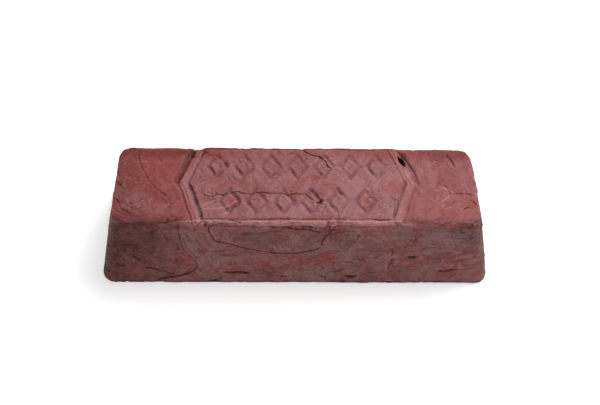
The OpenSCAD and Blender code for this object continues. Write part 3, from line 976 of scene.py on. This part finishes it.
# ---- Material
class Nodes:
    """Short calls that add nodes to a material or a world and link them."""

    def __init__(self, owner):
        owner.use_nodes = True
        self.tree = owner.node_tree

    def put(self, value, socket):
        """Links a socket to another one, or sets it to a plain value."""
        if isinstance(value, bpy.types.NodeSocket):
            self.tree.links.new(value, socket)
        else:
            socket.default_value = value

    def add(self, kind, inputs=(), **settings):
        node = self.tree.nodes.new(kind)
        for name, value in settings.items():
            setattr(node, name, value)
        for name, value in dict(inputs).items():
            self.put(value, node.inputs[name])
        return node

    def mask(self, name):
        return self.add("ShaderNodeAttribute", attribute_name=name).outputs["Fac"]

    def noise(self, vector, scale, detail, rough, distortion=0.0):
        inputs = dict(Vector=vector, Scale=scale, Detail=detail, Roughness=rough, Distortion=distortion)
        return self.add("ShaderNodeTexNoise", inputs).outputs["Fac"]

    def mapped(self, vector, scale, rotation=(0, 0, 0)):
        inputs = dict(Vector=vector, Rotation=rotation, Scale=scale)
        return self.add("ShaderNodeMapping", inputs).outputs[0]

    def ramp(self, value, low, high, to_low=0.0, to_high=1.0):
        inputs = {"Value": value, "From Min": low, "From Max": high, "To Min": to_low, "To Max": to_high}
        return self.add("ShaderNodeMapRange", inputs, interpolation_type="SMOOTHSTEP").outputs["Result"]

    def math(self, operation, a, b, clamp=False):
        return self.add("ShaderNodeMath", {0: a, 1: b}, operation=operation, use_clamp=clamp).outputs[0]

    def times(self, a, b, clamp=False):
        return self.math("MULTIPLY", a, b, clamp)

    def mix(self, amount, a, b):
        """A mix of two colours. The node's colour sockets come after those for numbers and vectors."""
        return self.add("ShaderNodeMix", {0: amount, 6: a, 7: b}, data_type="RGBA").outputs[2]

    def blend(self, amount, a, b):
        """A mix of two numbers."""
        return self.add("ShaderNodeMix", {0: amount, 2: a, 3: b}).outputs[0]


def colour(red, green, blue):
    """A colour given as it looks on a screen, 0 to 255, as the linear one that a shader takes."""
    def linear(v):
        v /= 255
        return v / 12.92 if v <= 0.04045 else ((v + 0.055) / 1.055) ** 2.4
    return linear(red), linear(green), linear(blue), 1.0


BRICK = colour(129, 59, 56)
DULL_BRICK = colour(120, 62, 59)
BRIGHT_BRICK = colour(137, 68, 66)
SIDE_POWDER = colour(142, 104, 102)
TOP_POWDER = colour(146, 99, 101)
OLIVE = colour(110, 86, 78)
MAUVE = colour(136, 74, 88)
UMBER = colour(120, 76, 60)
DARK_STREAK = colour(116, 52, 48)
WARM_RED = colour(135, 55, 49)
# Pale tone for rubbed wear and painted highlights
RUBBED_AND_HIGHLIGHT = colour(190, 134, 131)
# Painted shade in recesses
RECESS_SHADE = colour(104, 58, 60)
# Painted shade, dark brown
BROWN_PAINTED_SHADE = colour(52, 39, 28)
# Painted shade in cracks, hollows and nicks, and in the darkening patches
DARKEST_PAINTED_SHADE = colour(36, 12, 11)
DARK_GRAIN = colour(74, 36, 35)
PALE_GRAIN = colour(168, 118, 115)
# Veins: the height of the fold pattern that they follow, their strength and their colour
VEINS = ((0.5, 0.55, colour(60, 28, 27)), (0.52, 0.2, colour(170, 122, 120)),
         (0.57, 0.45, colour(66, 30, 28)), (0.42, 0.4, colour(66, 34, 32)))
BUMP_HEIGHT = 0.3 * MM
SPECULAR = 0.12


def compound_material():
    """Brick red wax with clouds, powder, smears, veins, wear, cracks, grain, painted shade and highlights."""
    material = bpy.data.materials.new("compound")
    n = Nodes(material)
    n.tree.nodes.clear()
    coordinates = n.add("ShaderNodeTexCoord")
    in_mm = n.add("ShaderNodeVectorMath", {0: coordinates.outputs["Object"], 1: (1000, 1000, 1000)},
                  operation="MULTIPLY").outputs[0]
    bent = n.add("ShaderNodeTexNoise", {"Vector": in_mm, "Scale": 0.06, "Detail": 2.0}).outputs["Color"]
    flow = n.add("ShaderNodeVectorMath", {0: bent, 1: (24, 24, 24), 2: in_mm},
                 operation="MULTIPLY_ADD").outputs[0]
    level = n.ramp(n.add("ShaderNodeSeparateXYZ", {0: coordinates.outputs["Normal"]}).outputs["Z"], 0.5, 0.9)

    def by_side(on_sides, on_level):
        """A number that is one thing on the sides and the base and another on the top."""
        return n.ramp(level, 0, 1, on_sides, on_level)

    # Patterns
    clouds = n.ramp(n.noise(in_mm, 0.055, 4, 0.6, 0.6), 0.36, 0.64)
    mottle = n.ramp(n.noise(in_mm, 0.33, 5, 0.62, 0.4), 0.34, 0.66)
    grain = n.noise(in_mm, 1.7, 4, 0.65)
    streak = n.blend(level, *(n.noise(n.mapped(flow, scale, (0, 0.12, turn)), 0.22, 4, 0.5, 0.8)
                              for turn, scale in ((0.1, (0.6, 1.0, 0.9)), (0.25, (1.0, 0.7, 0.7)))))
    film = n.math("ADD", n.mask("film"), n.times(n.ramp(streak, 0.42, 0.6), by_side(0.46, 0.26)))
    film = n.times(film, n.ramp(grain, 0.3, 0.6, 0.5, 1.0), clamp=True)
    olive = n.times(n.ramp(n.noise(in_mm, 0.09, 5, 0.6, 1.0), 0.42, 0.62), by_side(0.55, 0.0))
    tint = n.noise(in_mm, 0.42, 3, 0.6, 0.6)
    fold = n.noise(n.mapped(flow, (0.5, 1, 1)), 0.1, 3, 0.5, 0.5)
    broken = n.ramp(n.noise(in_mm, 0.2, 3, 0.6), 0.45, 0.6)
    fine = n.blend(level, n.noise(n.mapped(in_mm, (0.75, 1, 1), (0, 0.12, 0.1)), 0.8, 4, 0.6, 1.6),
                   n.noise(in_mm, 1.1, 5, 0.7, 0.4))
    speckle = n.ramp(n.noise(in_mm, 1.2, 3, 0.6, 0.8), 0.36, 0.64)
    shade = n.mask("shade")
    pale = n.times(n.ramp(fine, 0.5, 0.66), by_side(0.22, 0.15))

    def vein(height, strength):
        return n.ramp(n.math("ABSOLUTE", n.math("SUBTRACT", fold, height), 0.0), 0.0, 0.012, strength, 0.0)

    # Layers of colour, from the mass itself up to its finest grain
    tone = n.mix(clouds, BRICK, DULL_BRICK)
    for amount, layer in (
        (n.times(mottle, 0.7), BRIGHT_BRICK),
        (film, n.mix(level, SIDE_POWDER, TOP_POWDER)),
        (olive, OLIVE),
        (n.ramp(tint, 0.5, 0.66, 0.0, 0.4), MAUVE),
        (n.ramp(tint, 0.48, 0.34, 0.0, 0.36), UMBER),
        (n.times(n.ramp(streak, 0.56, 0.36), by_side(0.42, 0.3)), DARK_STREAK),
        (n.times(n.mask("warm"), 0.85), WARM_RED),
        # Rubbed wear, and painted highlights along the edges
        (n.times(n.mask("wear"), 0.72), RUBBED_AND_HIGHLIGHT),
        # Painted shade in sunken channels and strokes
        (n.times(n.mask("recess_shade"), 0.54), RECESS_SHADE),
        *((n.times(vein(height, strength), broken), layer) for height, strength, layer in VEINS),
        # Painted shade, dark brown
        (shade, BROWN_PAINTED_SHADE),
        # Painted shade in cracks, hollows, nicks and darkening patches
        (n.mask("crack"), DARKEST_PAINTED_SHADE),
        (n.times(speckle, by_side(0.3, 0.13)), DARK_GRAIN),
        (n.times(pale, n.ramp(shade, 0.0, 0.6, 1.0, 0.25)), PALE_GRAIN),
    ):
        tone = n.mix(amount, tone, layer)

    relief = n.math("ADD", n.times(fine, by_side(1.3, 0.7)), n.times(streak, 0.8))
    bump = n.add("ShaderNodeBump", {"Strength": 0.8, "Distance": BUMP_HEIGHT, "Height": relief})
    shader = n.add("ShaderNodeBsdfPrincipled", {
        "Base Color": tone, "Roughness": n.ramp(grain, 0.3, 0.7, 0.5, 0.68), "Normal": bump.outputs["Normal"],
        "Specular IOR Level": SPECULAR})
    n.add("ShaderNodeOutputMaterial", {"Surface": shader.outputs[0]})
    return material


# ---- Stage, light and camera
FLOOR_REACH = 3.0
WHITE = (1, 1, 1, 1)
FLOOR_GREY = (0.85, 0.85, 0.85, 1)
FLOOR_ROUGHNESS = 0.9
FLOOR_GLOW = (0.55, 1.0)
FLOOR_GLOW_REACH = (0.1, 0.4)
WORLD_WHITE_BELOW, WORLD_DIM_ABOVE = 0.2, 0.45
WORLD_ABOVE = 0.2
KEY_PLACE = Vector((0.26, 0.28, 0.42))
KEY_SIZE = (0.5, 0.45)
KEY_WATTS = 5.3
CAMERA_ANGLES = (52.567, 2.269, 2.112)
CAMERA_PLACE = Vector((-0.00711, -0.21745, 0.30423))
CAMERA_LENS, CAMERA_SENSOR = 54, 36


def floor():
    """A pale floor that glows towards its rim, so that it runs into the white of the world."""
    mesh = bpy.data.meshes.new("floor")
    corners = [(x * FLOOR_REACH, y * FLOOR_REACH, cad_low.z) for x, y in ((-1, -1), (1, -1), (1, 1), (-1, 1))]
    mesh.from_pydata(corners, [], [(0, 1, 2, 3)])
    material = bpy.data.materials.new("floor")
    n = Nodes(material)
    shader = n.tree.nodes["Principled BSDF"]
    looks = {"Base Color": FLOOR_GREY, "Roughness": FLOOR_ROUGHNESS, "Emission Color": WHITE}
    for name, value in looks.items():
        shader.inputs[name].default_value = value
    place = n.add("ShaderNodeTexCoord").outputs["Object"]
    away = n.add("ShaderNodeVectorMath", {0: place}, operation="LENGTH")
    n.put(n.ramp(away.outputs["Value"], *FLOOR_GLOW_REACH, *FLOOR_GLOW), shader.inputs["Emission Strength"])
    mesh.materials.append(material)
    placed("floor", mesh)


def key_light():
    """A soft light from behind on the right."""
    lamp = bpy.data.lights.new("key", "AREA")
    lamp.shape = "RECTANGLE"
    lamp.size, lamp.size_y = KEY_SIZE
    lamp.energy = KEY_WATTS
    holder = placed("key", lamp)
    holder.location = (cad_low + cad_high) / 2 + KEY_PLACE
    holder.rotation_mode = "QUATERNION"
    holder.rotation_quaternion = (-KEY_PLACE).to_track_quat("-Z", "Y")


def world():
    """A world that is white low down and dimmer above."""
    studio = bpy.data.worlds.new("studio")
    n = Nodes(studio)
    background = n.tree.nodes["Background"]
    background.inputs["Color"].default_value = WHITE
    direction = n.add("ShaderNodeTexCoord").outputs["Generated"]
    upward = n.add("ShaderNodeSeparateXYZ", {0: direction}).outputs["Z"]
    n.put(n.ramp(upward, WORLD_WHITE_BELOW, WORLD_DIM_ABOVE, 1.0, WORLD_ABOVE), background.inputs["Strength"])
    bpy.context.scene.world = studio
    bpy.context.scene.view_settings.view_transform = "Standard"


def camera():
    """The camera looks down at the bar from in front, turned and tilted a little."""
    down, turn, roll = (math.radians(v) for v in CAMERA_ANGLES)
    forward = Vector((math.sin(turn) * math.cos(down), math.cos(turn) * math.cos(down), -math.sin(down)))
    level = Vector((math.cos(turn), -math.sin(turn), 0))
    upward = level.cross(forward)
    right = level * math.cos(roll) + upward * math.sin(roll)
    up = upward * math.cos(roll) - level * math.sin(roll)
    data = bpy.data.cameras.new("camera")
    data.lens, data.sensor_width = CAMERA_LENS, CAMERA_SENSOR
    holder = placed("camera", data)
    base_middle = Vector(((cad_low.x + cad_high.x) / 2, (cad_low.y + cad_high.y) / 2, cad_low.z))
    axes = Matrix((right, up, -forward)).transposed().to_4x4()
    holder.matrix_world = Matrix.Translation(base_middle + CAMERA_PLACE) @ axes
    bpy.context.scene.camera = holder


floor()
key_light()
world()
camera()

skin = make_skin()
bar = thinned(bar_mesh(skin), TRIANGLES)
bar.data.materials.append(compound_material())
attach(bar, "root")
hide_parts(NODE)
